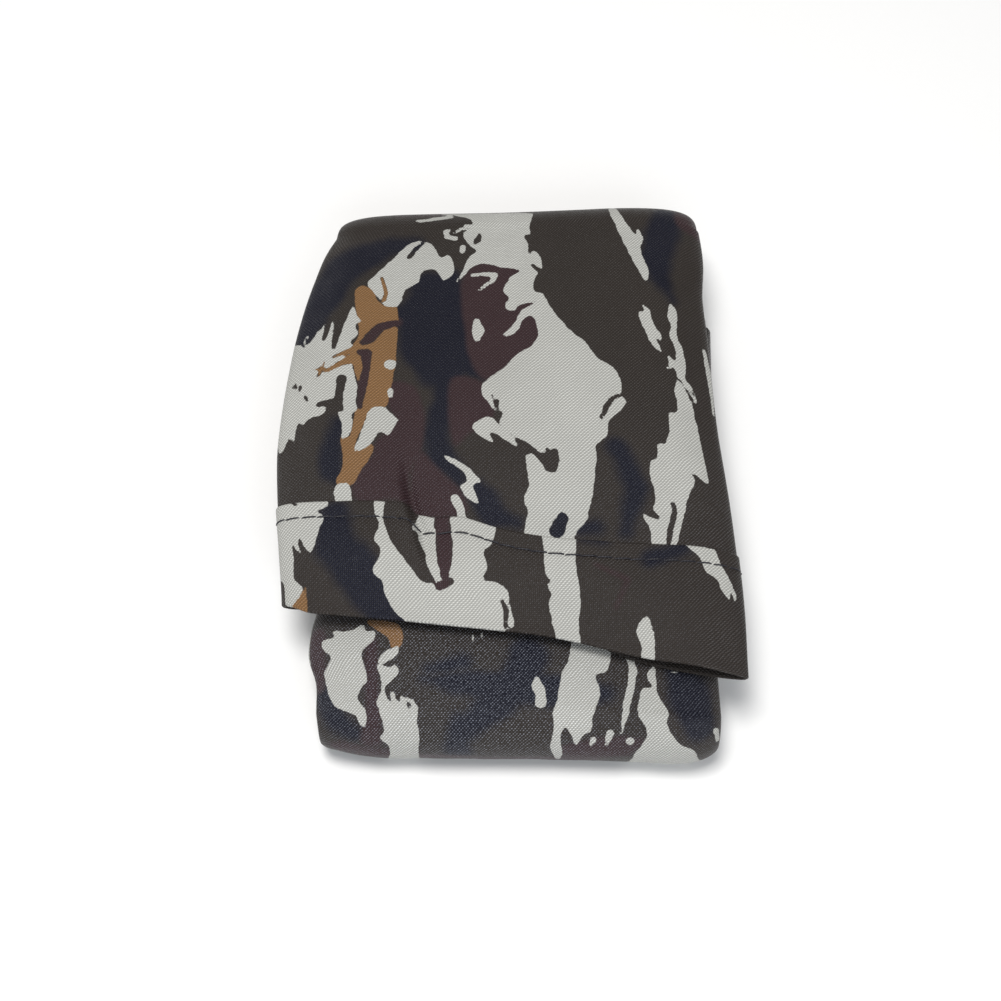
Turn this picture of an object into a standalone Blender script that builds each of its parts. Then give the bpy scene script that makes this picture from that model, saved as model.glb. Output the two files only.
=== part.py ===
"""Hand warmer muff, folded in thirds.

An insulated fabric tube, open at both ends, lies flattened and folded twice into a
bundle: the base third rests on the table, the middle third lies on it, and the flap
third lies on top with its cuff and hand opening towards -Y. Metres, +Z up, with the
origin under the middle of the bundle.
"""

import math

import bpy

# Bundle
HALF_DEPTH = 0.0800        # from the middle of the bundle to the outside of each fold
LAYER = 0.0090             # height of one flattened thickness of the tube
BETWEEN = 0.0008           # space between two folded layers
FOLD_LEFT = -0.0472        # edges of the flattened tube at the folds; the flap lies
FOLD_RIGHT = 0.0533        # askew, so its bundle's box is not centred on them
END_GAP = 0.0003           # space between a tube's end and the fold's sleeve
HINGE_OUT = 0.0030         # fold axis, outwards from the centre of the fold's curve

# Cloth
SHELL = 0.00045
PLY_GAP = 0.0002
WADDING = 0.0008
LINING = 0.0004
BAND = 0.0004
THREAD_R = 0.00015
THREAD_LIFT = 0.00025      # middle of the thread above the band's face

# Cuffs
CUFF_HEIGHT = 0.0080       # outer height of the flattened tube at a cuff
BAND_WIDTH = 0.0280
STITCH_FROM_EDGE = 0.0046
FLAP_MOUTH_Y = -0.0526
FLAP_MOUTH_SKEW = -0.160
FLAP_EDGE_SKEW = -0.120
BASE_MOUTH_Y = 0.0510
BASE_MOUTH_SKEW = 0.030
BASE_EDGE_SKEW = 0.020
# Share of the way from the fold to the mouth, then the left and right edges there
FLAP_SIDES = (
    (0.00, -0.0468, 0.0533),
    (0.30, -0.0558, 0.0541),
    (0.62, -0.0585, 0.0557),
    (1.00, -0.0545, 0.0585),
)
BASE_SIDES = (
    (0.00, -0.0472, 0.0533),
    (0.32, -0.0482, 0.0545),
    (0.64, -0.0490, 0.0560),
    (1.00, -0.0495, 0.0570),
)
TAPER_IN = 0.0020          # where the shell draws in under the band
LINING_SHORT = 0.0015      # the lining ends this far inside the mouth

# Roundness
RUN_STATIONS = (0.0, 0.36, 0.72, 1.0)
ARC_STEPS = 8              # half way round the tube's rounded side
SEAM_STEPS = 4
WADDING_END_STEPS = 2
FOLD_STEPS = 10
SEAM_ANGLE = 38.0
WADDING_ANGLE = 54.0
AXIS_SHOWN = 0.020         # how large Blender draws a fold axis

PITCH = LAYER + BETWEEN
BASE_MID = LAYER / 2
MIDDLE_MID = BASE_MID + PITCH
FLAP_MID = MIDDLE_MID + PITCH
FOLD_R = PITCH / 2 + LAYER / 2
CURVE_Y = HALF_DEPTH - FOLD_R
TUBE_END = CURVE_Y - END_GAP
HINGE_Y = CURVE_Y + HINGE_OUT
FRONT_AXIS_Z = LAYER + BETWEEN / 2
BACK_AXIS_Z = FRONT_AXIS_Z + PITCH

WADDING_IN = SHELL + PLY_GAP
LINING_IN = WADDING_IN + WADDING + PLY_GAP
CUFF_SHELL_IN = BAND + PLY_GAP
CUFF_LINING_IN = CUFF_SHELL_IN + SHELL + PLY_GAP


def clear_scene():
    for old in list(bpy.data.objects):
        bpy.data.objects.remove(old, do_unlink=True)


def new_collection(name):
    made = bpy.data.collections.new(name)
    bpy.context.scene.collection.children.link(made)
    return made


def material(name, colour, roughness):
    made = bpy.data.materials.new(name)
    made.use_nodes = True
    shader = made.node_tree.nodes["Principled BSDF"]
    shader.inputs["Base Color"].default_value = (*colour, 1.0)
    shader.inputs["Roughness"].default_value = roughness
    shader.inputs["Metallic"].default_value = 0.0
    return made


def arcs(left, right, height, runs):
    """Points (x, z) round a flattened tube's rounded ends, each run (end, from, to, steps) in degrees."""
    radius = height / 2
    centres = {"left": left + radius, "right": right - radius}
    points = []
    for end, low, high, steps in runs:
        for step in range(steps + 1):
            turn = math.radians(low + (high - low) * step / steps)
            points.append((centres[end] + radius * math.cos(turn), radius * math.sin(turn)))
    return points


def section(left, right, height):
    """All round a flattened tube, anticlockwise from its right end."""
    ends = (("right", -90.0, 90.0, ARC_STEPS), ("left", 90.0, 270.0, ARC_STEPS))
    return arcs(left, right, height, ends)


def seam_section(left, right, height):
    """The strip of seam allowance at the tube's right end."""
    return arcs(left, right, height, (("right", -SEAM_ANGLE, SEAM_ANGLE, SEAM_STEPS),))


def wadding_section(left, right, height):
    """Round the tube, open at its right end for the seam."""
    ends = (
        ("right", WADDING_ANGLE, 90.0, WADDING_END_STEPS),
        ("left", 90.0, 270.0, ARC_STEPS),
        ("right", 270.0, 360.0 - WADDING_ANGLE, WADDING_END_STEPS),
    )
    return arcs(left, right, height, ends)


def between(table, share):
    """The left and right edges at this share of the way along."""
    for (low, *first), (high, *second) in zip(table, table[1:]):
        if share <= high + 1e-9:
            part = (share - low) / (high - low)
            return [a + (b - a) * part for a, b in zip(first, second)]
    return list(table[-1][1:])


def put(name, points, faces, edges, where, slot, parent, cloth):
    """A new object with its origin at where, made from points in the whole object's frame."""
    mesh = bpy.data.meshes.new(name)
    local = [(x - where[0], y - where[1], z - where[2]) for x, y, z in points]
    mesh.from_pydata(local, edges, faces)
    mesh.materials.append(slot)
    mesh.update()
    made = bpy.data.objects.new(name, mesh)
    made.location = where
    cloth.objects.link(made)
    if parent is not None:
        made.parent = parent
        made.matrix_parent_inverse = parent.matrix_world.inverted()
    return made


def thicken(made, thickness, inwards=True):
    solidify = made.modifiers.new("Cloth thickness", "SOLIDIFY")
    solidify.thickness = thickness
    solidify.offset = -1.0 if inwards else 1.0
    solidify.use_even_offset = True
    solidify.use_rim = True
    return made


def smooth(made):
    for face in made.data.polygons:
        face.use_smooth = True
    return made


def loft(name, stations, closed, thickness, where, slot, parent, cloth, forwards):
    """Cloth lofted through stations, each (y at the middle, skew, z, section points)."""
    points = []
    for y, skew, z, outline in stations:
        points += [(x, y + skew * x, z + up) for x, up in outline]
    count = len(stations[0][3])
    faces = []
    for row in range(len(stations) - 1):
        for i in range(count if closed else count - 1):
            a = row * count + i
            b = row * count + (i + 1) % count
            face = (a, b, b + count, a + count)
            faces.append(face if forwards else face[::-1])
    return thicken(smooth(put(name, points, faces, [], where, slot, parent, cloth)), thickness)


def straight(name, outline, closed, thickness, z, where, slot, parent, cloth):
    """A straight run of cloth of one section, from the front fold to the back fold."""
    count = len(outline)
    edges = [(i, (i + 1) % count) for i in range(count if closed else count - 1)]
    points = [(x, where[1], z + up) for x, up in outline]
    made = put(name, points, [], edges, where, slot, parent, cloth)
    run = made.modifiers.new("Run", "SCREW")
    run.axis = "Y"
    run.angle = 0.0
    run.screw_offset = 2 * TUBE_END
    run.steps = 1
    run.render_steps = 1
    run.use_smooth_shade = True
    run.use_normal_flip = True
    offset = where[1] + TUBE_END
    for vertex in made.data.vertices:
        vertex.co.y -= offset
    return thicken(made, thickness)


def fold(name, inset, thickness, centre, sense, slot, parent, cloth):
    """A sleeve of cloth carried half way round a fold, from the layer under it to the layer over it."""
    outline = section(*fold_edges(inset))
    count = len(outline)
    edges = [(i, (i + 1) % count) for i in range(count)]
    points = [(x, centre[1], centre[2] - PITCH / 2 + up) for x, up in outline]
    made = put(name, points, [], edges, centre, slot, parent, cloth)
    turn = made.modifiers.new("Round the fold", "SCREW")
    turn.axis = "X"
    turn.angle = sense * math.pi
    turn.screw_offset = 0.0
    turn.steps = FOLD_STEPS
    turn.render_steps = FOLD_STEPS
    turn.use_smooth_shade = True
    turn.use_normal_flip = sense > 0
    return thicken(made, thickness)


def thread_loop(name, sides, y, skew, z, where, slot, parent, cloth):
    """A row of topstitching, all round a cuff."""
    left, right = sides
    outline = section(left - THREAD_LIFT, right + THREAD_LIFT, CUFF_HEIGHT + 2 * THREAD_LIFT)
    data = bpy.data.curves.new(name, "CURVE")
    data.dimensions = "3D"
    data.bevel_depth = THREAD_R
    data.bevel_resolution = 1
    line = data.splines.new("POLY")
    line.points.add(len(outline) - 1)
    for point, (x, up) in zip(line.points, outline):
        point.co = (x - where[0], y + skew * x - where[1], z + up - where[2], 1.0)
    line.use_cyclic_u = True
    data.materials.append(slot)
    made = bpy.data.objects.new(name, data)
    made.location = where
    cloth.objects.link(made)
    if parent is not None:
        made.parent = parent
        made.matrix_parent_inverse = parent.matrix_world.inverted()
    return made


def fold_edges(inset):
    """Left, right and height of a layer of cloth this far inside the tube's outer face at a fold."""
    return FOLD_LEFT + inset, FOLD_RIGHT - inset, LAYER - 2 * inset


def cuffed_tube(prefix, z, fold_y, mouth_y, sides, mouth_skew, edge_skew, where, slots, parent, cloth):
    """One end third of the muff: shell, wadding, lining, side seam, cuff band and topstitching."""
    toward = 1.0 if mouth_y > fold_y else -1.0
    forwards = toward < 0
    edge_y = mouth_y - toward * BAND_WIDTH
    before_y = edge_y - toward * TAPER_IN
    stitch_y = edge_y + toward * STITCH_FROM_EDGE

    def sides_at(y, inset):
        left, right = between(sides, (y - fold_y) / (mouth_y - fold_y))
        return left + inset, right - inset

    def skew_at(y):
        share = (y - edge_y) / (mouth_y - edge_y)
        return edge_skew + (mouth_skew - edge_skew) * share

    def main(share, inset, outline=section, stop=before_y):
        y = fold_y + (stop - fold_y) * share
        return (y, edge_skew * share, z, outline(*sides_at(y, inset), LAYER - 2 * inset))

    def cuff(y, skew, inset):
        return (y, skew, z, section(*sides_at(y, inset), CUFF_HEIGHT - 2 * inset))

    short_y = before_y - toward * TAPER_IN

    loft(
        prefix + "_shell",
        [
            *(main(share, 0.0) for share in RUN_STATIONS),
            cuff(edge_y, edge_skew, CUFF_SHELL_IN),
            cuff(mouth_y, mouth_skew, CUFF_SHELL_IN),
        ],
        True, SHELL, where, slots["camo"], parent, cloth, forwards,
    )
    loft(
        prefix + "_wadding",
        [main(share, WADDING_IN, wadding_section, short_y) for share in RUN_STATIONS],
        False, WADDING, where, slots["wadding"], parent, cloth, forwards,
    )
    loft(
        prefix + "_side_seam",
        [main(share, WADDING_IN, seam_section, short_y) for share in RUN_STATIONS],
        False, WADDING, where, slots["seam"], parent, cloth, forwards,
    )
    loft(
        prefix + "_lining",
        [
            *(main(share, LINING_IN) for share in RUN_STATIONS),
            cuff(edge_y, edge_skew, CUFF_LINING_IN),
            cuff(mouth_y - toward * LINING_SHORT, mouth_skew, CUFF_LINING_IN),
        ],
        True, LINING, where, slots["fleece"], parent, cloth, forwards,
    )
    loft(
        prefix + "_cuff_band",
        [cuff(edge_y, edge_skew, 0.0), cuff(mouth_y, mouth_skew, 0.0)],
        True, BAND, where, slots["cuff"], parent, cloth, forwards,
    )
    thread_loop(
        prefix + "_cuff_thread", sides_at(stitch_y, 0.0), stitch_y, skew_at(stitch_y), z,
        where, slots["thread"], parent, cloth,
    )


def axis_empty(name, where, parent, cloth):
    made = bpy.data.objects.new(name, None)
    made.empty_display_size = AXIS_SHOWN
    made.location = where
    cloth.objects.link(made)
    if parent is not None:
        made.parent = parent
        made.location = [a - b for a, b in zip(where, parent.location)]
    bpy.context.view_layer.update()
    return made


def build():
    clear_scene()
    cloth = new_collection("hand_warmer_muff")
    slots = {
        "camo": material("camo_oxford", (0.20, 0.21, 0.19), 0.55),
        "cuff": material("cuff_oxford", (0.24, 0.25, 0.23), 0.55),
        "wadding": material("wadding", (0.78, 0.78, 0.75), 0.95),
        "fleece": material("fleece_lining", (0.035, 0.035, 0.038), 0.95),
        "seam": material("seam_allowance", (0.16, 0.165, 0.15), 0.80),
        "thread": material("black_thread", (0.012, 0.012, 0.013), 0.60),
    }
    front_axis = (0.0, -HINGE_Y, FRONT_AXIS_Z)
    back_axis = (0.0, HINGE_Y, BACK_AXIS_Z)
    front = axis_empty("front_fold_axis", front_axis, None, cloth)
    back = axis_empty("back_fold_axis", back_axis, front, cloth)

    cuffed_tube(
        "base", BASE_MID, -TUBE_END, BASE_MOUTH_Y, BASE_SIDES, BASE_MOUTH_SKEW,
        BASE_EDGE_SKEW, (0.0, 0.0, 0.0), slots, None, cloth,
    )
    cuffed_tube(
        "flap", FLAP_MID, TUBE_END, FLAP_MOUTH_Y, FLAP_SIDES, FLAP_MOUTH_SKEW,
        FLAP_EDGE_SKEW, back_axis, slots, back, cloth,
    )

    straight(
        "middle_shell", section(*fold_edges(0.0)), True, SHELL,
        MIDDLE_MID, front_axis, slots["camo"], front, cloth,
    )
    straight(
        "middle_wadding",
        wadding_section(*fold_edges(WADDING_IN)), False,
        WADDING, MIDDLE_MID, front_axis, slots["wadding"], front, cloth,
    )
    straight(
        "middle_side_seam",
        seam_section(*fold_edges(WADDING_IN)), False,
        WADDING, MIDDLE_MID, front_axis, slots["seam"], front, cloth,
    )
    straight(
        "middle_lining", section(*fold_edges(LINING_IN)), True,
        LINING, MIDDLE_MID, front_axis, slots["fleece"], front, cloth,
    )

    front_curve = (0.0, -CURVE_Y, FRONT_AXIS_Z)
    back_curve = (0.0, CURVE_Y, BACK_AXIS_Z)
    fold("front_fold_shell", 0.0, SHELL, front_curve, -1.0, slots["camo"], None, cloth)
    fold("front_fold_lining", LINING_IN, LINING, front_curve, -1.0, slots["fleece"], None, cloth)
    fold("back_fold_shell", 0.0, SHELL, back_curve, 1.0, slots["camo"], front, cloth)
    fold("back_fold_lining", LINING_IN, LINING, back_curve, 1.0, slots["fleece"], front, cloth)


build()
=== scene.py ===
import math

import bpy
import numpy as np
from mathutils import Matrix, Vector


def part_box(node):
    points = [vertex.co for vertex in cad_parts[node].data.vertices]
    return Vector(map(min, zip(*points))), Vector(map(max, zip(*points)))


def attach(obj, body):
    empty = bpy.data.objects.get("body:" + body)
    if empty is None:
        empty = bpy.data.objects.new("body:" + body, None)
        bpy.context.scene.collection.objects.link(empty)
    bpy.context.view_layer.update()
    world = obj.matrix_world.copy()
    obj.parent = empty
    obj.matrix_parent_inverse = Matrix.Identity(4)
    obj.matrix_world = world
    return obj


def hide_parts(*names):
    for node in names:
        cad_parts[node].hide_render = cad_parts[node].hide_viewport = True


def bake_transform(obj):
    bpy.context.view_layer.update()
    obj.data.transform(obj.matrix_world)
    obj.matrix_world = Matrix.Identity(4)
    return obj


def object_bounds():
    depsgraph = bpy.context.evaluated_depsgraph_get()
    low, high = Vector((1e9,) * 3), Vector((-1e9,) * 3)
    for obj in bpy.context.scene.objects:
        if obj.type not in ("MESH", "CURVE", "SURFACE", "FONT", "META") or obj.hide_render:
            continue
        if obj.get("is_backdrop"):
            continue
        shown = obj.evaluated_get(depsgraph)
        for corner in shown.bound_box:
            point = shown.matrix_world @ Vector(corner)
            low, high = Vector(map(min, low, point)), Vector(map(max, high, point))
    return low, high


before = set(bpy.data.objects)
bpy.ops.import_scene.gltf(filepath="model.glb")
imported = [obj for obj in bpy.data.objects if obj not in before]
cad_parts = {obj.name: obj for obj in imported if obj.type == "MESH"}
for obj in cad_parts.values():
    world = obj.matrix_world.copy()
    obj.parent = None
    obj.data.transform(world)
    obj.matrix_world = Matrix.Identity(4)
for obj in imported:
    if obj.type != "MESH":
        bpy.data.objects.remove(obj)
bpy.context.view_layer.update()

# Everything is worked out in millimetres, in the frame's own axes, and written in metres.
MM = 0.001

# ---- camera
CAMERA_AWAY = 0.5
CAMERA_UP = math.radians(60)
CAMERA_LENS = 66.8
CAMERA_SHIFT = -0.0049, -0.0031
camera = bpy.data.objects.new("camera", bpy.data.cameras.new("camera"))
bpy.context.collection.objects.link(camera)
camera.location = (0, -CAMERA_AWAY * math.cos(CAMERA_UP), CAMERA_AWAY * math.sin(CAMERA_UP))
camera.rotation_euler = (math.pi / 2 - CAMERA_UP, 0, 0)
camera.data.lens = CAMERA_LENS
camera.data.shift_x, camera.data.shift_y = CAMERA_SHIFT
camera.data.clip_start, camera.data.clip_end = 0.01, 20
bpy.context.scene.camera = camera

# ---- the layers and the folds
def box_mm(node):
    low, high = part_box(node)
    return np.array(low) / MM, np.array(high) / MM


fold_low, fold_high = box_mm("front_fold_shell")
FOLD_R = (fold_high[2] - fold_low[2]) / 2
FRONT_Y, FRONT_Z = fold_low[1] + FOLD_R, (fold_high[2] + fold_low[2]) / 2
fold_low, fold_high = box_mm("back_fold_shell")
BACK_Y, BACK_Z = fold_high[1] - FOLD_R, (fold_high[2] + fold_low[2]) / 2
low, high = box_mm("base_shell")
HALF = (high[2] - low[2]) / 2
BASE_Z = HALF
MIDDLE_Z = BASE_Z + BACK_Z - FRONT_Z
FLAP_Z = MIDDLE_Z + BACK_Z - FRONT_Z
BEND = FOLD_R - HALF  # the radius of the middle of a layer where it folds
AROUND = 232.0  # the tube's outside, once round, on average


def smooth(table, at):
    """A smooth curve through the table's (place, value) rows, flat beyond its ends."""
    table = sorted(table)
    place = np.array([row[0] for row in table], float)
    value = np.array([row[1] for row in table], float)
    slope = np.gradient(value, place)
    at = np.clip(at, place[0], place[-1])
    i = np.clip(np.searchsorted(place, at) - 1, 0, len(place) - 2)
    span = place[i + 1] - place[i]
    t = (at - place[i]) / span
    return (
        value[i] * (2 * t**3 - 3 * t**2 + 1)
        + value[i + 1] * (3 * t**2 - 2 * t**3)
        + span * slope[i] * (t**3 - 2 * t**2 + t)
        + span * slope[i + 1] * (t**3 - t**2)
    )


def ease(t):
    t = np.clip(t, 0, 1)
    return t * t * (3 - 2 * t)


# x of each layer's left and right side against y
FLAP_LEFT = [
    (70, -46.6), (66, -48.6), (54, -52.2), (38, -55.4), (24, -57.2), (10, -58.4), (0, -58.8),
    (-14, -58.0), (-30, -56.2), (-44, -54.8), (-60, -54.0),
]
FLAP_RIGHT = [
    (76, 53.0), (61, 54.2), (48, 53.4), (36, 54.0), (22, 54.4), (9, 54.9), (-17, 57.0), (-40, 58.2),
    (-66, 58.4),
]
MIDDLE_LEFT = [
    (-70, -46.2), (-62, -46.6), (-54, -48.8), (-48, -48.6), (-41, -47.2), (0, -47.6), (70, -46.6),
]
MIDDLE_RIGHT = [(-70, 52.6), (-60, 52.4), (0, 53.0), (70, 53.0)]
BASE_LEFT = [(-70, -46.2), (-20, -47.8), (51, -49.4)]
BASE_RIGHT = [(-70, 52.6), (0, 53.6), (30, 55.8), (51, 57.0)]

# where the flap's mouth is, against x, on its upper and its lower wall, and where its cuff starts
FLAP_MOUTH_UPPER = [
    (-56, -43.4), (-50, -45.6), (-42, -46.6), (-25, -48.3), (-3, -50.8), (9, -52.3), (18, -54.3),
    (28, -57.0), (45, -61.2), (58, -63.0),
]
FLAP_MOUTH_LOWER = [
    (-56, -43.4), (-50, -43.4), (-42, -43.2), (-3, -46.2), (9, -48.0), (18, -50.6), (30, -56.5),
    (45, -60.4), (58, -62.8),
]
FLAP_BAND = [
    (-57, -17.3), (-44, -17.6), (-29, -18.0), (-24, -19.2), (-21.5, -21.0), (-10, -22.2), (-2, -25.2),
    (11, -28.1), (24, -29.3), (46, -30.1), (58, -31.2),
]
BASE_MOUTH = 51.0
BASE_MOUTH_SKEW = 0.03
BAND_WIDTH = 28.0
STITCH_IN = 4.6  # the stitches' distance from the cuff's edge
MOUTH_HALF = 2.3  # half the height of a closed mouth
CUFF_LIFT = 1.1  # how far the cloth under the base's cuff is drawn up


def flap_mouth(x, upper):
    """y of the flap's mouth: upper is 1 on the upper wall and 0 on the lower."""
    return smooth(FLAP_MOUTH_UPPER, x) * upper + smooth(FLAP_MOUTH_LOWER, x) * (1 - upper)


def section(shares, left, right, half, square, square_right=None):
    """A flattened tube's x, height and distance round, at these shares of the way round, and its length.

    It starts at the left side and goes over the top. square says how square the sides are: 2 is an ellipse.
    """
    turn = np.linspace(0, 2 * math.pi, 721)
    across = -np.cos(turn)
    power = np.where(across > 0, square_right or square, square)
    x = (left + right) / 2 + (right - left) / 2 * across
    t = np.sign(np.sin(turn)) * half * np.sqrt(np.clip(1 - np.abs(across) ** power, 0, 1))
    run = np.concatenate([[0], np.cumsum(np.hypot(np.diff(x), np.diff(t)))])
    want = shares * run[-1]
    return np.interp(want, run, x), np.interp(want, run, t), want, run[-1]


# ---- the surface of the tube
# S runs along the tube in millimetres of cloth: base mouth 0, front fold, middle, back fold, flap mouth.
S_FRONT = BASE_MOUTH - FRONT_Y
S_MIDDLE = S_FRONT + math.pi * FOLD_R
S_BACK = S_MIDDLE + BACK_Y - FRONT_Y
S_FLAP = S_BACK + math.pi * FOLD_R
WHOLE_TUBE = (0.0, S_FLAP + 135)


def tuck_line(y):
    """x of the tuck."""
    return smooth([(14, -27.0), (0, -25.6), (-10, -24.6), (-18, -23.4), (-27, -20.6), (-34, -19.2)], y)


def crease(x, y):
    """The tuck that runs down into the flap's cuff: how far the cloth there stands up or sinks."""
    off = x - tuck_line(y)
    strength = ease((1 - y) / 20) * ease((y + 40) / 14)
    return strength * (
        1.15 * np.exp(-(((off + 3.0) / 2.4) ** 2))
        - 2.1 * np.exp(-((off / 1.45) ** 2))
        - 0.4 * np.exp(-(((off - 3.8) / 2.6) ** 2))
    )


def waves(x, y):
    """The padding's slow swells."""
    return (
        0.28 * np.sin(x / 9.5 + 0.6 + y / 38)
        + 0.24 * np.sin(y / 11.0 + x / 30 + 1.2)
        + 0.16 * np.sin((x + 0.7 * y) / 6.3 + 2.0)
        + 0.10 * np.sin((x - 1.3 * y) / 4.4)
    )


def sag_back(x, y):
    """The back fold isn't square: it hangs back towards the left."""
    table = [(-50, -1.9), (-20, -1.4), (0, -0.9), (20, 0.1), (32, 0.7), (43, 0.5), (54, -0.9)]
    return smooth(table, x) * ease((y - 25) / 45)


def sag_front(x, y):
    """Nor is the front fold: it is drawn back a little at the left and in the middle."""
    table = [(-50, 1.6), (-20, 1.5), (10, 1.3), (30, 0.7), (46, 0), (53, 0.6)]
    return smooth(table, x) * ease((-y - 52) / 22)


def row(places, s, weight, run, whole, left, right):
    """One ring of points with its S, its blend weight, and its x on the cloth's upper and lower faces."""
    centre = (left + right) / 2
    return dict(
        at=places,
        s=s,
        weight=weight,
        upper=run - whole / 4 + centre,
        lower=centre + 0.75 * whole - run,
        share=run / whole,
    )


def base_row(k, shares, inset=0.0, beyond=0.0):
    """k from 0 at the base's mouth to 1 at the front fold. beyond moves the ring out past the mouth."""
    y_row = BASE_MOUTH * (1 - k) + FRONT_Y * k + beyond
    left, right = smooth(BASE_LEFT, y_row), smooth(BASE_RIGHT, y_row)
    power = 8 - 3.6 * ease((-y_row - 50) / 20)
    near = ease((y_row - 27) / 24) ** 2
    half = HALF - (HALF - MOUTH_HALF) * near
    x, t, run, whole = section(shares, left + inset, right - inset, max(half - inset, 0.2), power)
    y = y_row + BASE_MOUTH_SKEW * x * (1 - k)
    z = BASE_Z - (HALF - half) + t
    # the cloth under the cuff is drawn up, so that the cuff outside it stays off the table
    lift = CUFF_LIFT * ease((y_row - 20) / 3) * np.clip(-t / half, 0, 1)
    lift = lift + 0.5 * (waves(x + 40, y) + 0.3) * np.clip(t / HALF, 0, 1) * near
    at = np.stack([x, y + sag_front(x, y), z + lift], -1)
    return row(at, BASE_MOUTH - y, np.zeros_like(x), run, whole, left, right)


def front_row(k, shares, inset=0.0):
    angle = k * math.pi
    bulge = math.sin(angle)
    left, right = -46.2 + 0.7 * bulge, 52.6 - 0.3 * bulge
    x, t, run, whole = section(shares, left + inset, right - inset, HALF - inset, 4.4 - 0.9 * bulge, 8)
    r = BEND - t
    y = FRONT_Y - r * math.sin(angle)
    at = np.stack([x, y + sag_front(x, y), FRONT_Z - r * math.cos(angle)], -1)
    return row(at, np.full_like(x, S_FRONT + FOLD_R * angle), np.full_like(x, k), run, whole, left, right)


def middle_row(y_row, shares, weight, inset=0.0):
    """A ring of the middle layer. weight is 0 in the upper half's meshes and 1 in the lower half's."""
    left, right = smooth(MIDDLE_LEFT, y_row), smooth(MIDDLE_RIGHT, y_row)
    power = 8 - 3.6 * ease((-y_row - 50) / 20) - 2.5 * ease((y_row - 52) / 18)
    x, t, run, whole = section(shares, left + inset, right - inset, HALF - inset, power)
    y = y_row + sag_back(x, np.full_like(x, y_row)) + sag_front(x, np.full_like(x, y_row))
    lift = 0.35 * waves(x - 30, y) * ease((-y - 36) / 12) * ease((y - FRONT_Y) / 8)
    lift = lift * (t < 0) * np.abs(t) / HALF
    at = np.stack([x, y, MIDDLE_Z - t + lift], -1)
    return row(at, S_MIDDLE + y_row - FRONT_Y + 0 * x, np.full_like(x, weight), run, whole, left, right)


def back_row(k, shares, inset=0.0):
    angle = k * math.pi
    left, right = -46.6 + 0.8 * math.sin(angle), 53.0
    x, t, run, whole = section(shares, left + inset, right - inset, HALF - inset, 7, 16)
    r = BEND + t
    y = BACK_Y + r * math.sin(angle)
    at = np.stack([x, y + sag_back(x, y), BACK_Z - r * math.cos(angle)], -1)
    return row(at, np.full_like(x, S_BACK + FOLD_R * angle), np.full_like(x, k), run, whole, left, right)


def flap_row(y_at, shares, inset=0.0):
    """y_at(x, upper) says where the ring runs."""
    left, right = smooth(FLAP_LEFT, y_at(-54.0, 0.5)), smooth(FLAP_RIGHT, y_at(57.0, 0.5))
    near_fold = ease((y_at(0.0, 0.5) - 52) / 18)
    half_in = max(HALF - inset, 0.2)
    squares = 8 - near_fold, 8 + 8 * near_fold
    x, t, run, whole = section(shares, left + inset, right - inset, half_in, *squares)
    part = t / half_in
    up = (np.clip(part * 1.4, -1, 1) + 1) / 2
    mouth, y = flap_mouth(x, up), y_at(x, up)
    gape = 1 + 0.55 * np.exp(-(((x - 46) / 9) ** 2)) + 0.35 * np.exp(-(((x + 52) / 3) ** 2))
    near = ease(1 - (y - mouth) / 24) ** 2
    half = HALF - (HALF - MOUTH_HALF * gape) * near
    z = FLAP_Z - (HALF - half) + part * np.maximum(half - inset, 0.2)
    swell = ease((BACK_Y - y) / 26)
    crown = 0.3 * (1 - ((x - 1) / 57) ** 2) * (1 - near)
    padding = crown + waves(x, y) * (1 - 0.5 * near) + crease(x, y)
    z = z + up * ease(1.25 - np.abs(x - 1) / 58) * swell * padding
    at = np.stack([x, y + sag_back(x, y), z], -1)
    return row(at, S_FLAP + BACK_Y - y, np.ones_like(x), run, whole, left, right)


def whole_flap(k):
    return lambda x, up: BACK_Y * (1 - k) + flap_mouth(x, up) * k


def stack(rows):
    return {key: np.array([r[key] for r in rows]) for key in rows[0]}


# ---- the print, drawn in mm of cloth
def closed_curve(points, steps=4):
    p = np.array(points, float)
    a, b, c, d = np.roll(p, 1, 0), p, np.roll(p, -1, 0), np.roll(p, -2, 0)
    t = (np.arange(steps) / steps)[:, None, None]
    bends = (2 * a - 5 * b + 4 * c - d) * t**2 + (3 * b - a - 3 * c + d) * t**3
    curve = 0.5 * (2 * b + (c - a) * t + bends)
    return curve.transpose(1, 0, 2).reshape(-1, 2)


FAR = 9.0  # distances in the print are kept within this


def patch_distance(at, points):
    """How far inside (+) or outside (-) a patch each point of the cloth is."""
    ring = closed_curve(points)
    out = np.full(len(at), -FAR)
    near = np.all((at > ring.min(0) - FAR) & (at < ring.max(0) + FAR), 1)
    p = at[near]
    if not len(p):
        return out
    best, inside = np.full(len(p), FAR**2), np.zeros(len(p), bool)
    for a, b in zip(ring, np.roll(ring, -1, 0)):
        ab, rel = b - a, p - a
        h = np.clip(rel @ ab / (ab @ ab + 1e-12), 0, 1)
        best = np.minimum(best, ((rel - h[:, None] * ab) ** 2).sum(1))
        if a[1] != b[1]:
            crossed = (a[1] > p[:, 1]) != (b[1] > p[:, 1])
            inside ^= crossed & (p[:, 0] < a[0] + (p[:, 1] - a[1]) / (b[1] - a[1]) * ab[0])
    out[near] = np.where(inside, 1, -1) * np.sqrt(best)
    return out


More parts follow.
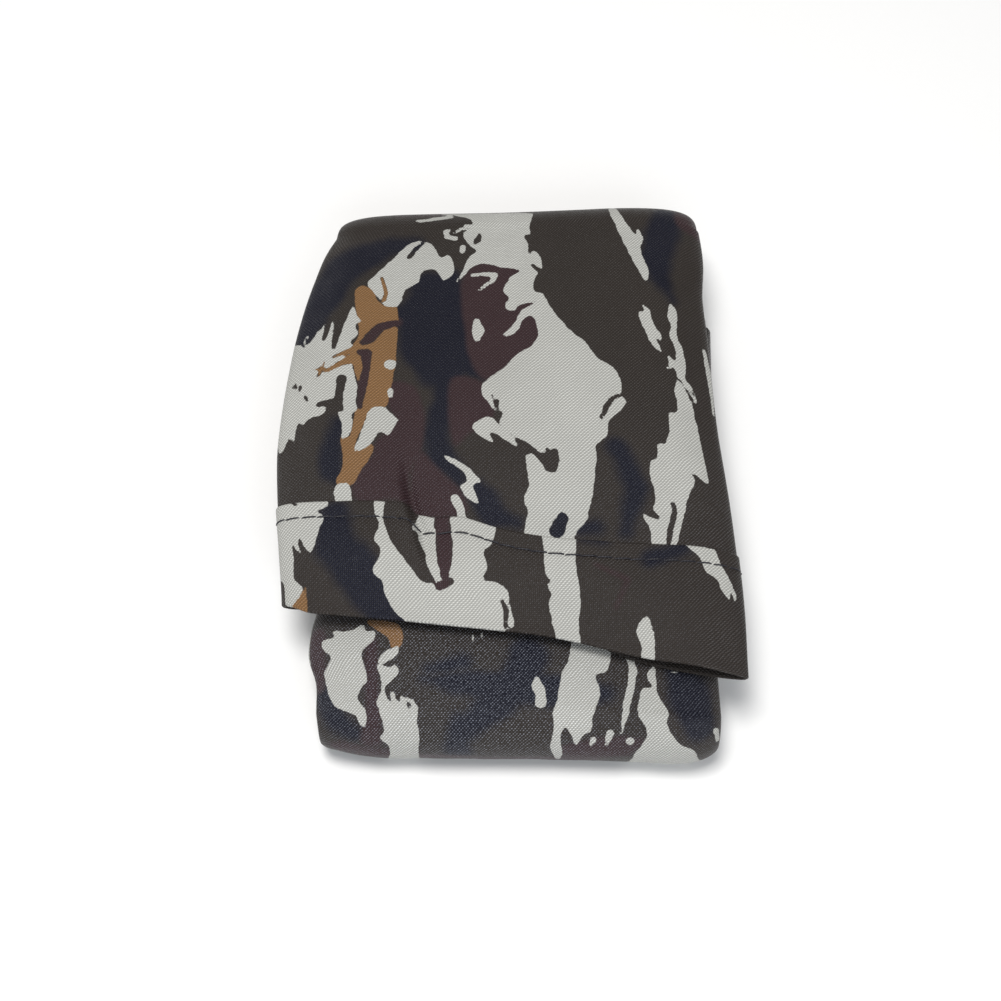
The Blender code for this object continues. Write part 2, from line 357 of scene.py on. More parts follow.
def stroke_distance(at, points):
    """The same for a brush stroke: points are (x, y, half width)."""
    stroke = np.array(points, float)
    if len(stroke) == 1:
        stroke = np.repeat(stroke, 2, 0)
    out = np.full(len(at), -FAR)
    reach = stroke[:, 2].max() + FAR
    near = np.all((at > stroke[:, :2].min(0) - reach) & (at < stroke[:, :2].max(0) + reach), 1)
    p = at[near]
    best = np.full(len(p), -FAR)
    for a, b in zip(stroke[:-1], stroke[1:]):
        ab, rel = (b - a)[:2], p - a[:2]
        h = np.clip(rel @ ab / (ab @ ab + 1e-12), 0, 1)
        best = np.maximum(best, a[2] + h * (b[2] - a[2]) - np.sqrt(((rel - h[:, None] * ab) ** 2).sum(1)))
    out[near] = best
    return out


def union(at, patches=(), strokes=()):
    out = np.full(len(at), -FAR)
    for points in patches:
        out = np.maximum(out, patch_distance(at, points))
    for points in strokes:
        out = np.maximum(out, stroke_distance(at, points))
    return out


TAN_BRANCHES = [
    [(-39, 28, 1.2), (-45.2, 25.6, 0.35)],
    [(-39.8, 25, 1.6), (-42.6, 23.8, 0.9), (-46.4, 21.4, 0.6), (-49.8, 22.3, 0.3)],
    [(-47.6, 24.4, 0.35), (-48.2, 21.8, 0.6), (-49.2, 19.2, 0.35)],
    [(-33.3, 51.5, 0.35), (-32.5, 48.6, 0.55), (-31.8, 46, 0.55), (-32.4, 43.6, 0.6)],
]
TAN_INNER = [
    [(-28.6, 36.2, 1), (-33, 34.9, 1.4), (-35.8, 31.2, 1.7), (-37.6, 30, 0.9)],
    [(-38, 27, 0.9), (-36.4, 26.4, 1.5), (-36.2, 22, 1), (-37, 16, 1.2), (-37.6, 9.6, 0.7)],
]
FLAP_PRINT = {"pale": dict(patches=[
    # upper left
    [(-23.8, 63.9), (-20.8, 63.2), (-18.9, 60.4), (-17.5, 57.9), (-15.4, 58.9), (-14.2, 55.7),
     (-13.9, 52.6), (-16, 50.4), (-20, 48), (-24, 49), (-26.6, 45.5), (-28.6, 41.8), (-31.7, 41.7),
     (-33.5, 43.9), (-35.1, 46.4), (-37, 48.9), (-35.1, 52), (-32.6, 55.1), (-30.1, 57.9), (-28.2, 60.8),
     (-26, 62.9)],
    # top middle and down into the big pale field
    [(5.4, 76), (6.6, 71.7), (6.2, 68.9), (6.5, 66.7), (4.9, 66), (5.9, 62.6), (6.1, 59), (7.6, 60.4),
     (9.4, 57.9), (9.9, 53.9), (8.5, 52), (7.4, 47), (10.1, 45.1), (11.9, 41.4), (14.7, 37), (18.5, 32.2),
     (21, 30.1), (23.2, 26.4), (24.8, 24.4), (27.9, 22.6), (29.7, 18.9), (30.2, 15.6), (29.9, 13.6),
     (31.2, 11.4), (29.7, 8.9), (27.2, 6.2), (26.2, 4.2), (25.7, 0.6), (22.9, -1.9), (23.2, -6.2),
     (22.6, -9.4), (22.1, -15), (21, -20), (20.1, -23.7), (17.6, -26.9), (16.9, -31), (16.5, -36),
     (9.6, -36), (9.3, -32.4), (5.4, -29), (4.8, -25.6), (5.7, -21.2), (4.7, -17.5), (5.9, -13.7),
     (5.4, -8.7), (5.2, -5.2), (7.5, -5), (9.6, -7), (11.5, -10.2), (13.4, -7.5), (13, -3.2), (9, -4.4),
     (6, -1.9), (2.2, 0.4), (-1, 3.4), (-1.6, 4.8), (-0.4, 8.2), (-2.6, 7.6), (-3.9, 9.9), (-4.8, 11.4),
     (-5.8, 12.6), (-6.1, 15.7), (-4.5, 18.2), (-0.2, 22), (3.5, 26.4), (6.6, 28.3), (8.5, 32), (8.2, 35.7),
     (6.9, 38.3), (4.9, 37.2), (3.4, 33.8), (1.2, 31.9), (-0.6, 32), (1.8, 35), (3.4, 38.2), (4.2, 41),
     (1.6, 39.6), (-0.1, 41.5), (1, 43.9), (-0.7, 46.4), (0.6, 49.2), (1.6, 51.2), (3.9, 53.2), (1.2, 54),
     (-1.1, 54.2), (-3.2, 54.9), (-6.4, 55.5), (-9.4, 54), (-11.4, 51), (-13.3, 49.3), (-11.8, 52.5),
     (-10.9, 55.4), (-9.8, 58), (-8, 60), (-9.6, 62), (-11.4, 64.5), (-11.6, 67.4), (-9.4, 69),
     (-9.6, 71.6), (-11, 73), (-14, 74.4), (-17, 76)],
    # right
    [(36.3, 42.6), (38.2, 40.7), (38.9, 37), (41.2, 32.6), (40.6, 31), (39.6, 31.7), (41.2, 27.4),
     (38.6, 29.7), (36.6, 35), (35.2, 39.7), (36.8, 40.3)],
    [(44.1, 43.1), (46, 40.1), (45.4, 33.3), (47.2, 28.3), (47.7, 23.3), (47.4, 19.5), (49.7, 15.8),
     (49.8, 12.4), (47.6, 14.6), (48.6, 12.5), (49.2, 9), (50.4, 1), (51, -5.6), (51.5, -12), (49.1, -10.4),
     (46.9, -9.4), (47.9, -11.4), (46, -16.2), (44.4, -22.5), (42.6, -30), (42.4, -34), (36.6, -34),
     (36.2, -29.5), (36, -25.6), (34.4, -21.7), (37.9, -23.2), (38.7, -22.4), (36.9, -20.2), (37.6, -16.2),
     (36.3, -10), (36.9, -6.6), (38.5, -5), (38.8, -1.3), (40.8, -0.9), (42.2, 3.8), (42.1, 8.4),
     (44.6, 9.2), (44.1, 15.8), (45, 19.5), (44.4, 22.7), (42.1, 22.1), (43, 24), (42.7, 26.6), (44.8, 25),
     (45, 28.9), (43.4, 32.6), (44, 36.4), (43.2, 38.9)],
    [(28.3, 78.5), (30.1, 78.5), (31.6, 73.3), (33.5, 69.5), (35.3, 66.3), (35.8, 68.7), (37.3, 65.1),
     (36.5, 62), (36.9, 58.3), (38.5, 53.9), (38.1, 50.4), (37.1, 50.6), (34.8, 55.8), (32.3, 62),
     (30, 69.5), (28.8, 73.3)],
    # left
    [(-47.6, 38.4), (-47.2, 36.2), (-45.8, 37.2), (-45, 33.6), (-43.9, 32), (-42.4, 37.2), (-40.5, 42.2),
     (-39.4, 39), (-38.2, 37.2), (-39.7, 35.7), (-38.9, 32.6), (-40.7, 30.1), (-39.4, 28), (-39.8, 23),
     (-39.1, 18.9), (-38.3, 15.8), (-38.7, 12), (-38, 9.3), (-39.4, 7.4), (-39.1, 5), (-39.9, 1.4),
     (-41.8, 0.4), (-41.7, 4.4), (-43.2, 8.1), (-41.6, 9), (-42.4, 12), (-45.6, 11.6), (-46.6, 8.4),
     (-49.6, 7), (-51.2, 3.4), (-53.4, 6.4), (-54.6, 0.8), (-56, 2.2), (-58.2, -2), (-60.5, 4), (-60, 18),
     (-58.6, 31.5), (-54.4, 31.6), (-53, 34.3), (-52, 31.6), (-50.1, 34.5), (-48.7, 35.6)],
    [(-34.6, 9.2), (-31, 9.8), (-30.8, 9.6), (-27.5, 5.9), (-27.6, 5.5), (-29.6, 1.6), (-30, 1.4),
     (-32.3, 2.2), (-34.5, -1.6), (-37.6, -3.4), (-38.3, -2.6), (-36.4, 3.8)],
    [(-42.6, -13.2), (-41.2, -12.6), (-39.2, -13.4), (-38.7, -21), (-41.7, -21), (-43.1, -15.6)],
    # beside the tuck
    [(-14.8, -4.7), (-10.1, -7.6), (-7, -11.2), (-6, -12.4), (-8.3, -13.4), (-6.5, -18.2), (-9.7, -16.6),
     (-11.3, -13.4), (-9.9, -12.4), (-10.5, -9.6), (-15, -5.7)],
    [(-13.8, -16.8), (-12, -15.9), (-10.1, -20), (-9.8, -25), (-12, -25), (-12, -21)],
    [(-4.5, 6.4), (-8.2, 4), (-7.4, 1.5), (-3.2, -1.1), (-3.8, 1.7), (-1, 0.2), (2.9, -2.8), (2, 0.2),
     (-1.4, 3.9)],
], strokes=[
    [(-25, 71.3, 0.5), (-20, 72.3, 0.8), (-15.5, 73.7, 1)],
    [(-14.3, 67, 0.3), (-11.6, 69.2, 0.7), (-9.3, 69.4, 0.8)], [(-16.5, 67.4, 0.9), (-16.3, 68.1, 0.9)],
    [(-16.3, 65.6, 0.8), (-14, 64.9, 0.8)], [(-11.8, 61.6, 0.8), (-11.7, 60.1, 0.8)],
    [(-8.9, 51.5, 0.5), (-6.2, 51.9, 0.5), (-2.9, 51.6, 0.9), (-3.4, 49.8, 0.7), (-6.9, 46.8, 0.4)],
    [(-7.6, 36.6, 0.9), (-7.2, 33.4, 1.7), (-7.4, 30.8, 0.8)], [(-29.6, 14.8, 0.8), (-29.7, 13.2, 0.7)],
    [(-30, 23, 1.6)], [(53, 30, 0.5), (54, 24, 0.9), (54.6, 17, 0.8), (54.8, 10, 0.4)],
], holes=dict(strokes=TAN_BRANCHES + [
    [(-22.6, 63.4, 0.5), (-24.4, 61, 0.7), (-26.1, 58.1, 0.7)],
    [(-20.3, 51.4, 2.6), (-19.5, 47, 4.4), (-24, 45, 3.4)], [(-14.6, 72.4, 0.5), (-17, 69.5, 1.3)],
    [(-10.6, 71.9, 0.6), (-12.6, 69.9, 0.9)], [(-7.4, 66.6, 0.5), (-7.8, 64.4, 1), (-8.6, 62.8, 0.4)],
    [(7.2, 55.3, 0.4), (9.4, 53, 0.8)], [(7.7, 42.6, 0.2), (3.8, 40.8, 0.9)],
    [(29.8, 13.5, 0.5), (27.4, 12.3, 0.7), (25.9, 9.4, 0.8), (24.5, 6.1, 0.6)],
    [(10.3, -3.2, 0.4), (11, -6, 0.7), (11.8, -8.9, 1.3)], [(12.5, -3.6, 0.6), (13, -6.5, 0.8)],
    [(2.6, 0, 0.3), (6.5, -3.1, 0.8), (9.3, -6.2, 0.7), (11, -9, 1)],
    [(14.2, -22.8, 1.5), (12.8, -26.4, 2)],
    [(41.8, -18.6, 0.6), (42.3, -21, 0.7), (41.1, -26, 0.8), (40.2, -31, 0.6)],
    [(45.8, 19, 0.2), (49.2, 12.8, 0.3)], [(47.9, 17, 0.2), (49.8, 14.8, 0.2)],
    [(-46.6, 38, 0.8), (-48.1, 32, 0.7)], [(-44.4, 36, 1), (-45.2, 29, 0.8)],
    [(-52.9, 33, 0.3), (-53.6, 30.8, 0.4)], [(-51.6, 33.6, 0.5), (-52.7, 31.6, 0.5)],
    [(-42.5, 18.6, 1.4), (-42.9, 14, 1), (-43.4, 10.8, 1.6)], [(-48.6, 11, 0.7), (-44.6, 11.5, 1.1)],
    [(-49, 4, 3.4), (-46, 3, 4.4), (-50, -6, 7)], [(-55.4, 18.8, 0.4), (-55.6, 17.6, 0.5)],
    [(-53.7, 17.6, 0.5), (-53.9, 16.5, 0.6)], [(-52.3, 14.2, 0.4), (-51.6, 13, 0.5)],
    [(-3.4, 12.8, 0.3), (-2.6, 10, 0.4)], [(-1.9, 11.4, 0.3), (-2.2, 8.6, 0.5)],
])), "tan": dict(patches=[
    [(-38.6, 48.6), (-35.4, 47.2), (-34.4, 44.2), (-31.7, 41.6), (-29, 41.4), (-28.4, 36), (-28.8, 22),
     (-29.6, 15.8), (-30.6, 10), (-34.4, 9.2), (-36.4, 4), (-38.3, -2.8), (-33.6, -1.2), (-34.5, -5.6),
     (-37, -10), (-38.6, -13.2), (-42.6, -12.8), (-41.1, -6.9), (-42, 0.6), (-39.6, 1), (-38.6, 9),
     (-38, 16), (-39.5, 22), (-40.4, 28), (-38.6, 33), (-39.8, 41), (-40.2, 46.6)],
], strokes=TAN_BRANCHES, holes=dict(strokes=TAN_INNER)), "navy": dict(strokes=[
    [(-54, 33, 3), (-51, 44, 6), (-44, 55, 6), (-32, 62, 3.4), (-24, 62.5, 2.4)],
    [(-20, 47, 5.5), (-20, 38, 8.5), (-18.5, 29, 9.5), (-17, 22, 7)],
    [(-15, 50, 3.5), (-13, 42, 3.5), (-10, 30, 5.5), (-8, 22, 3.5), (-5.4, 19, 1.6)],
    [(-17, 24, 3.4), (-16, 12, 2.6), (-17.5, 2, 3.2), (-16, -5, 3.4), (-11.6, -11, 2.4)],
    [(44, 74, 3.5), (42, 66, 4.8), (40.5, 58, 4.4), (43, 49, 2.4), (45, 44, 1)],
    [(-42.6, 5, 2), (-44, -2, 3), (-44, -9, 3), (-42.5, -12, 1.4)],
    [(-7.4, -14.5, 2.4), (-4.5, -18, 3.4), (-3, -22, 3.4), (3, -24, 2)],
    [(19, -25.4, 2.2), (22.4, -25.2, 2.6)], [(14.2, -22.8, 2.6), (12.8, -26.4, 3.2)],
    [(28, -2, 2), (33, -14, 3), (30, -26, 2)],
]), "maroon": dict(patches=[
    [(-11.5, 50.5), (-6, 56), (4.6, 54), (0, 45), (8.6, 43.2), (9.4, 33), (7, 27.4), (0, 21), (-5, 17.6),
     (-9, 24), (-10.5, 34), (-11.5, 42)],
    [(-30.5, 17), (-24, 16.4), (-21, 8), (-21.6, -2), (-24.4, -10), (-24, -18), (-30, -17), (-36, -18),
     (-38.6, -15), (-37.2, -10.2), (-34.2, -5.2), (-33, -1), (-30.6, 2), (-28, 5.6), (-30, 10)],
    [(-14, 18), (-8, 18), (-4, 14), (-3, 6), (-9, 2), (-13, -2), (-14.4, 8)],
    [(-22, -4), (-17.6, -8), (-12, -14), (-9.6, -20), (-14, -22), (-22, -21), (-24, -14)],
    [(48, 78), (56, 78), (57, 66), (49.6, 68), (46.5, 72)],
    [(-60, 15), (-56.4, 14.5), (-56.5, 10), (-58.6, 2), (-64, 0)],
], strokes=TAN_INNER + [
    [(-30, 74.6, 0.4), (-22, 74.8, 0.7), (-16, 75.6, 0.8)], [(3, 74.6, 0.4), (4.4, 74.8, 0.5)],
])}

CUFF_PRINT = {"pale": dict(patches=[
    [(-60, -18), (-55.4, -16), (-46.7, -16), (-44.4, -18.8), (-47, -20.6), (-45.5, -22.2), (-46.7, -26.9),
     (-48, -31.8), (-49.7, -30.4), (-51.2, -27.8), (-51.6, -29.8), (-50.2, -32.6), (-52.3, -30.4),
     (-53.2, -29), (-52.6, -33.7), (-52.4, -38), (-49.9, -41.2), (-52.8, -45.4), (-55, -48), (-60, -46)],
    [(-32.8, -15), (-30.3, -15), (-30.6, -22.5), (-29.8, -25.6), (-27.9, -30), (-25.1, -33.8),
     (-21.4, -38.8), (-18.9, -40), (-17.3, -39.4), (-19.5, -35), (-19.9, -31.9), (-21.7, -28.7),
     (-21.6, -26.6), (-23.2, -26.7), (-22.9, -25), (-21.6, -21), (-21.4, -18), (-17.3, -18), (-17.9, -24.4),
     (-16.4, -26.9), (-17, -30.6), (-15.4, -37.5), (-14.4, -39.6), (-13.9, -36), (-13.4, -31), (-14.6, -25),
     (-13.8, -19), (-9.8, -19), (-2.6, -22), (-3.3, -29.7), (-5.4, -31.9), (-4.5, -36.2), (-5.7, -39.3),
     (-2.3, -40), (0.5, -42.2), (1.4, -46.8), (2, -50.6), (-0.7, -52.2), (-1.6, -58), (-23, -58),
     (-23.4, -50.6), (-27, -46.9), (-29.5, -42.5), (-30.2, -39.4), (-32.7, -36.9), (-30.8, -32.5),
     (-31.7, -30), (-32.7, -28.7), (-31.4, -24.4), (-32.8, -21)],
    [(9.4, -30), (9.8, -38), (11.2, -40), (10.4, -41), (11.3, -43.1), (10.7, -45.6), (11.5, -50),
     (12.6, -55), (13, -62), (19, -62), (18.5, -56.6), (17.9, -50.6), (18.4, -43.8), (17.6, -38.7),
     (17.2, -33.8), (17, -26), (9.2, -26)],
    [(46, -26.3), (47.2, -27.5), (49.1, -30.3), (51.9, -31.3), (52.9, -34.4), (55.4, -39.4), (56.8, -43.1),
     (56.6, -45.3), (55.4, -42.5), (55, -44.8), (53.2, -42.5), (51.9, -39.4), (49.1, -36.9), (48.2, -33.8),
     (44.8, -30)],
    [(33.5, -49.7), (34.8, -49.4), (35.4, -51.9), (36.1, -53.1), (35.8, -64), (32.9, -64), (32.9, -56.3),
     (31.8, -52.5)], [(48.5, -23.4), (50.4, -26.3), (49.6, -28.8), (48.3, -26.9)],
], strokes=[[(51.4, -27.6, 0.4), (53.6, -30.6, 0.3)]], holes=dict(strokes=[
    [(-0.9, -44.3, 0.4), (0.2, -46.5, 0.7), (0, -50.6, 0.6)], [(-16.2, -40.8, 1.1), (-13.4, -39.7, 0.9)],
    [(-15.8, -21, 1.8), (-15.4, -26, 1.9), (-15.2, -30, 2.2), (-15, -35, 1.7), (-14.9, -38.4, 1)],
    [(-54.6, -16.6, 0.4), (-52.8, -18.2, 0.4)], [(-50.4, -16.4, 0.3), (-50, -17.4, 0.2)],
])), "tan": dict(patches=[
    [(-50.6, -41.6), (-49.1, -41), (-49, -50), (-54, -50), (-52.8, -45.4)],
]), "navy": dict(strokes=[
    [(-42.5, -21, 3.4), (-42, -30, 5.4), (-36, -38, 5.4), (-31, -45, 4.6), (-26, -50, 3)],
    [(20, -27, 2.6), (24, -29, 1.6)], [(44, -31, 2), (36, -34, 2)],
]), "maroon": dict(strokes=[
    [(-16, -18, 1.8), (-15.6, -25, 1.9), (-15, -30, 1.8), (-15, -36, 1.8), (-15.6, -41, 1.8)],
    [(22, -36, 0.2), (30, -40, 0.6), (27, -47, 0.4)],
])}

LOWER_PRINT = {"pale": dict(patches=[
    [(-42.7, -48.6), (-38, -48.9), (-35.3, -47), (-34.4, -49), (-32.1, -49.3), (-32.4, -51.8), (-35.2, -55),
     (-34.5, -58.6), (-33.6, -62.9), (-34.9, -65), (-35.7, -68.2), (-34.1, -71.4), (-33.8, -74.3),
     (-34.6, -76.3), (-35.7, -75), (-36.6, -72.9), (-40.6, -70.7), (-42.7, -67.9), (-43.8, -64.3),
     (-44.7, -60.4), (-43.4, -57.9), (-43.1, -55.4), (-45.2, -53.2), (-44.9, -51.1), (-42.2, -50.5)],
    [(-28.4, -54.3), (-25.9, -53.2), (-26.4, -55.6), (-27.4, -57.1), (-25.9, -60.7), (-27.4, -63),
     (-29.1, -65), (-29.1, -67.1), (-28.1, -69.3), (-26.6, -69.8), (-26.2, -67.2), (-25.6, -70),
     (-24.6, -69.8), (-23.4, -68.2), (-23.8, -71.5), (-21.4, -70), (-21.6, -74.3), (-21.1, -78.6),
     (-21.4, -84), (-22, -96), (-29.4, -96), (-28.4, -82.9), (-30.8, -79.3), (-29.7, -77.1), (-30.6, -72.1),
     (-31.3, -69.6), (-30.2, -66.4), (-30.2, -62.9), (-31.3, -58.6), (-29.9, -55.4)],
    [(7.6, -62.1), (9.1, -64.6), (9.8, -67.9), (9.6, -70.7), (7.1, -70.9), (7.3, -67.9), (6.4, -65)],
    [(17.3, -50), (25.9, -50), (25.9, -55), (24.8, -60.4), (22.3, -61.4), (21.9, -62.9), (23, -67.1),
     (20.9, -72.9), (20.5, -76.4), (18.4, -78), (16.9, -80.6), (15.9, -78.6), (14.1, -76.1), (13, -78.6),
     (13.6, -83.9), (12.4, -88), (10.8, -82.6), (10.5, -80.7), (11.4, -76.4), (11.3, -72), (12.6, -68.6),
     (13.7, -61.4), (15.5, -57.1)],
    [(36.4, -58.6), (36.6, -64.3), (37.3, -67.1), (39.1, -70.7), (38.7, -74.3), (42.3, -79.3),
     (45.9, -82.1), (47, -96), (30, -96), (30.9, -83.9), (31.9, -81.4), (33.7, -77.9), (33.4, -75),
     (31.6, -72.1), (32.3, -68.6), (33, -65.4), (35.5, -64.3), (34.3, -61.4)],
], strokes=[
    [(29.8, -54, 0.8), (31.1, -60, 1), (30.5, -65, 0.9), (29.1, -70, 0.9), (27.6, -77, 0.3)],
    [(20.9, -79, 0.7), (20.2, -80.6, 0.4)], [(25, -77, 0.9), (24, -80.4, 0.5)], [(29.8, -79.1, 1.1)],
    [(40.6, -60.2, 0.3), (42, -59.8, 0.3)], [(51, -76, 0.9), (52, -80, 0.7)],
    [(-8.3, -49.5, 0.25), (-8, -52, 0.35)], [(-5.5, -49.8, 0.3), (-6.2, -51.6, 0.3)],
    [(-27.4, -72.5, 1), (-26.9, -69.4, 0.7), (-27.5, -66.8, 0.4)],
    [(-25, -72.5, 1), (-24.4, -70, 0.7), (-25.1, -67.9, 0.4)],
    [(-22.8, -74, 1), (-22, -71.4, 0.7), (-22.7, -69.2, 0.4)],
], holes=dict(strokes=[
    [(-30, -59, 0.3), (-28.4, -58.6, 0.8), (-27, -57.6, 0.9)], [(-33, -53, 0.4), (-31, -50.6, 0.5)],
])), "tan": dict(patches=[
    [(-34.4, -46), (-26.4, -47.5), (-25.4, -53), (-27.6, -54.2), (-29, -51), (-31.6, -49)],
]), "navy": dict(strokes=[
    [(43, -58, 4), (45, -66, 5.5), (47, -74, 4)], [(-44.5, -67, 2.4), (-42, -73, 3), (-37, -78, 2.6)],
    [(6, -57, 5), (2, -64, 5), (-3, -70, 4.5), (-11, -78, 3)], [(-18, -60, 2), (-10, -58, 2.4)],
    [(-11, -74, 2), (-12, -84, 3)], [(-20, -63, 1), (-6, -65, 4.5), (8, -66, 5), (24, -67, 3)],
]), "maroon": dict(strokes=[
    [(-47, -50, 2.4), (-47.6, -58, 2.8), (-46, -64, 1)],
    [(-33, -52, 1.4), (-32.6, -60, 1.5), (-32.2, -70, 1.6), (-33, -80, 2.6)],
    [(15, -83, 2), (22, -82, 3.4), (28, -81, 3.2), (32, -79, 1)],
    [(-40, -84, 3), (-20, -88, 3), (0, -90, 3), (20, -88, 3)],
])}
COLOURS = ("pale", "tan", "navy", "maroon")


def drawn(at, book):
    """Distances into each colour of a drawn stretch of the print."""
    out = {}
    for colour in COLOURS:
        words = book.get(colour, {})
        field = union(at, words.get("patches", ()), words.get("strokes", ()))
        if "holes" in words:
            field = np.minimum(field, -union(at, **words["holes"]))
        out[colour] = field
    return out


def loose_strokes(seed, start, end, number):
    """Brush strokes in the same style, for the cloth that the photograph doesn't show."""
    pick = np.random.default_rng(seed)
    strokes = []
    for _ in range(number):
        x, s = pick.uniform(0, AROUND), pick.uniform(start, end)
        lean, size = pick.normal(0, 0.35), pick.uniform(1.8, 6.2)
        chain = []
        for k in range(int(pick.integers(4, 8))):
            chain.append((x, s, size * pick.uniform(0.35, 1.15)))
            s += pick.uniform(4.5, 9)
            x += lean * 7 + pick.normal(0, 2.2)
        strokes.append(chain)
        for finger in range(int(pick.integers(2, 5))):
            fx, fs, fr = chain[int(pick.integers(0, len(chain)))]
            dx, ds = pick.normal(0, 3.2), pick.choice((-1, 1)) * pick.uniform(5, 11)
            half_way = (fx + dx * 0.5, fs + ds * 0.5, fr * 0.4)
            strokes.append([(fx, fs, fr * 0.6), half_way, (fx + dx, fs + ds, 0.3)])
        for dot in range(int(pick.integers(0, 3))):
            strokes.append([(x + pick.normal(0, 6), s + pick.normal(0, 6), pick.uniform(0.5, 1.1))])
    return strokes


LOOSE_STROKES = {"pale": 22, "tan": 4, "navy": 13, "maroon": 10}  # for each 100 mm of tube


def loose(at, seed, start, end):
    """Distances into each colour of the loose strokes; at is (millimetres round the tube, S)."""
    rounds = [at, at + (AROUND, 0), at - (AROUND, 0)]
    area = (end - start) / 100
    out = {}
    for k, (colour, number) in enumerate(LOOSE_STROKES.items()):
        strokes = loose_strokes(seed + 17 * k, start - 20, end + 10, max(2, round(number * area)))
        out[colour] = np.max([union(p, strokes=strokes) for p in rounds], 0)
    return out


# ---- materials
class Nodes:
    """Shorthand for building one material's nodes."""

    def __init__(self, name):
        self.material = bpy.data.materials.new(name)
        self.material.use_nodes = True
        self.tree = self.material.node_tree
        self.tree.nodes.clear()

    def add(self, kind, inputs=(), **settings):
        node = self.tree.nodes.new(kind)
        for key, value in settings.items():
            setattr(node, key, value)
        for key, value in dict(inputs).items():
            self.put(node.inputs[key], value)
        return node

    def put(self, socket, value):
        if isinstance(value, bpy.types.NodeSocket):
            self.tree.links.new(value, socket)
        else:
            socket.default_value = value

    def math(self, operation, a, b=None, c=None):
        inputs = {k: v for k, v in enumerate((a, b, c)) if v is not None}
        return self.add("ShaderNodeMath", inputs, operation=operation).outputs[0]

    def field(self, name):
        return self.add("ShaderNodeAttribute", attribute_name=name).outputs["Fac"]

    def noise(self, where, scale, detail=2.0, rough=0.5):
        inputs = {"Vector": where, "Scale": scale, "Detail": detail, "Roughness": rough}
        return self.add("ShaderNodeTexNoise", inputs).outputs["Fac"]

    def step(self, value, low, high):
        inputs = {"Value": value, "From Min": low, "From Max": high}
        return self.add("ShaderNodeMapRange", inputs, interpolation_type="SMOOTHSTEP").outputs[0]

    def mix(self, factor, a, b):
        node = self.add("ShaderNodeMix", data_type="RGBA")
        self.put(node.inputs[0], factor)
        self.put(node.inputs[6], a)
        self.put(node.inputs[7], b)
        return node.outputs[2]

    def scaled(self, colour, by):
        node = self.add("ShaderNodeVectorMath", {0: colour}, operation="SCALE")
        self.put(node.inputs["Scale"], by)
        return node.outputs[0]

    def bump(self, height, strength, distance):
        inputs = {"Height": height, "Strength": strength, "Distance": distance}
        return {"Normal": self.add("ShaderNodeBump", inputs).outputs[0]}

    def surface(self, colour, rough, others):
        inputs = {"Base Color": colour, "Roughness": rough, **others}
        shader = self.add("ShaderNodeBsdfPrincipled", inputs)
        out = self.add("ShaderNodeOutputMaterial")
        self.tree.links.new(shader.outputs[0], out.inputs["Surface"])
        return self.material


def rgb(r, g, b):
    """A display colour 0-255, none of it under 11, as the linear colour that a node takes."""
    return tuple(((v / 255 + 0.055) / 1.055) ** 2.4 for v in (r, g, b)) + (1.0,)


def times(colour, by):
    return tuple(by * v for v in colour[:3]) + (1.0,)


THREAD = 0.48 * MM  # the oxford's thread pitch
INK = {
    "olive": rgb(50, 44, 40),
    "navy": rgb(16, 17, 33),
    "maroon": rgb(57, 39, 42),
    "tan": rgb(136, 101, 65),
    "pale": rgb(191, 191, 186),
}
PAINTED_GLINT_COLOUR = (0.13, 0.14, 0.165)  # painted highlight: the colour that the painted sheen adds to the tops of the threads


def weave(n, pitch):
    """The cloth's UV map, in metres, and a plain weave's height: 0 in its holes, 1 on top of a thread."""
    cloth = n.add("ShaderNodeUVMap", uv_map="cloth").outputs[0]
    split = n.add("ShaderNodeSeparateXYZ", {0: cloth})
    wander = n.math("MULTIPLY", n.math("SUBTRACT", n.noise(cloth, 160.0, 2.0), 0.5), pitch * 1.3)
    across = n.math("MULTIPLY", n.math("ADD", split.outputs[0], wander), math.pi / pitch)
    along = n.math("MULTIPLY", n.math("ADD", split.outputs[1], wander), math.pi / pitch)
    # the threads lie a little askew, so one diagonal of their tops shows more than the other
    strong = n.math("COSINE", n.math("ADD", across, along))
    weak = n.math("COSINE", n.math("SUBTRACT", across, along))
    tops = n.math("MULTIPLY_ADD", weak, -0.16, n.math("MULTIPLY_ADD", strong, 0.34, 0.5))
    picks = n.math("ABSOLUTE", n.math("SINE", along))
    return cloth, n.math("MULTIPLY_ADD", tops, 0.72, n.math("MULTIPLY", picks, 0.28))


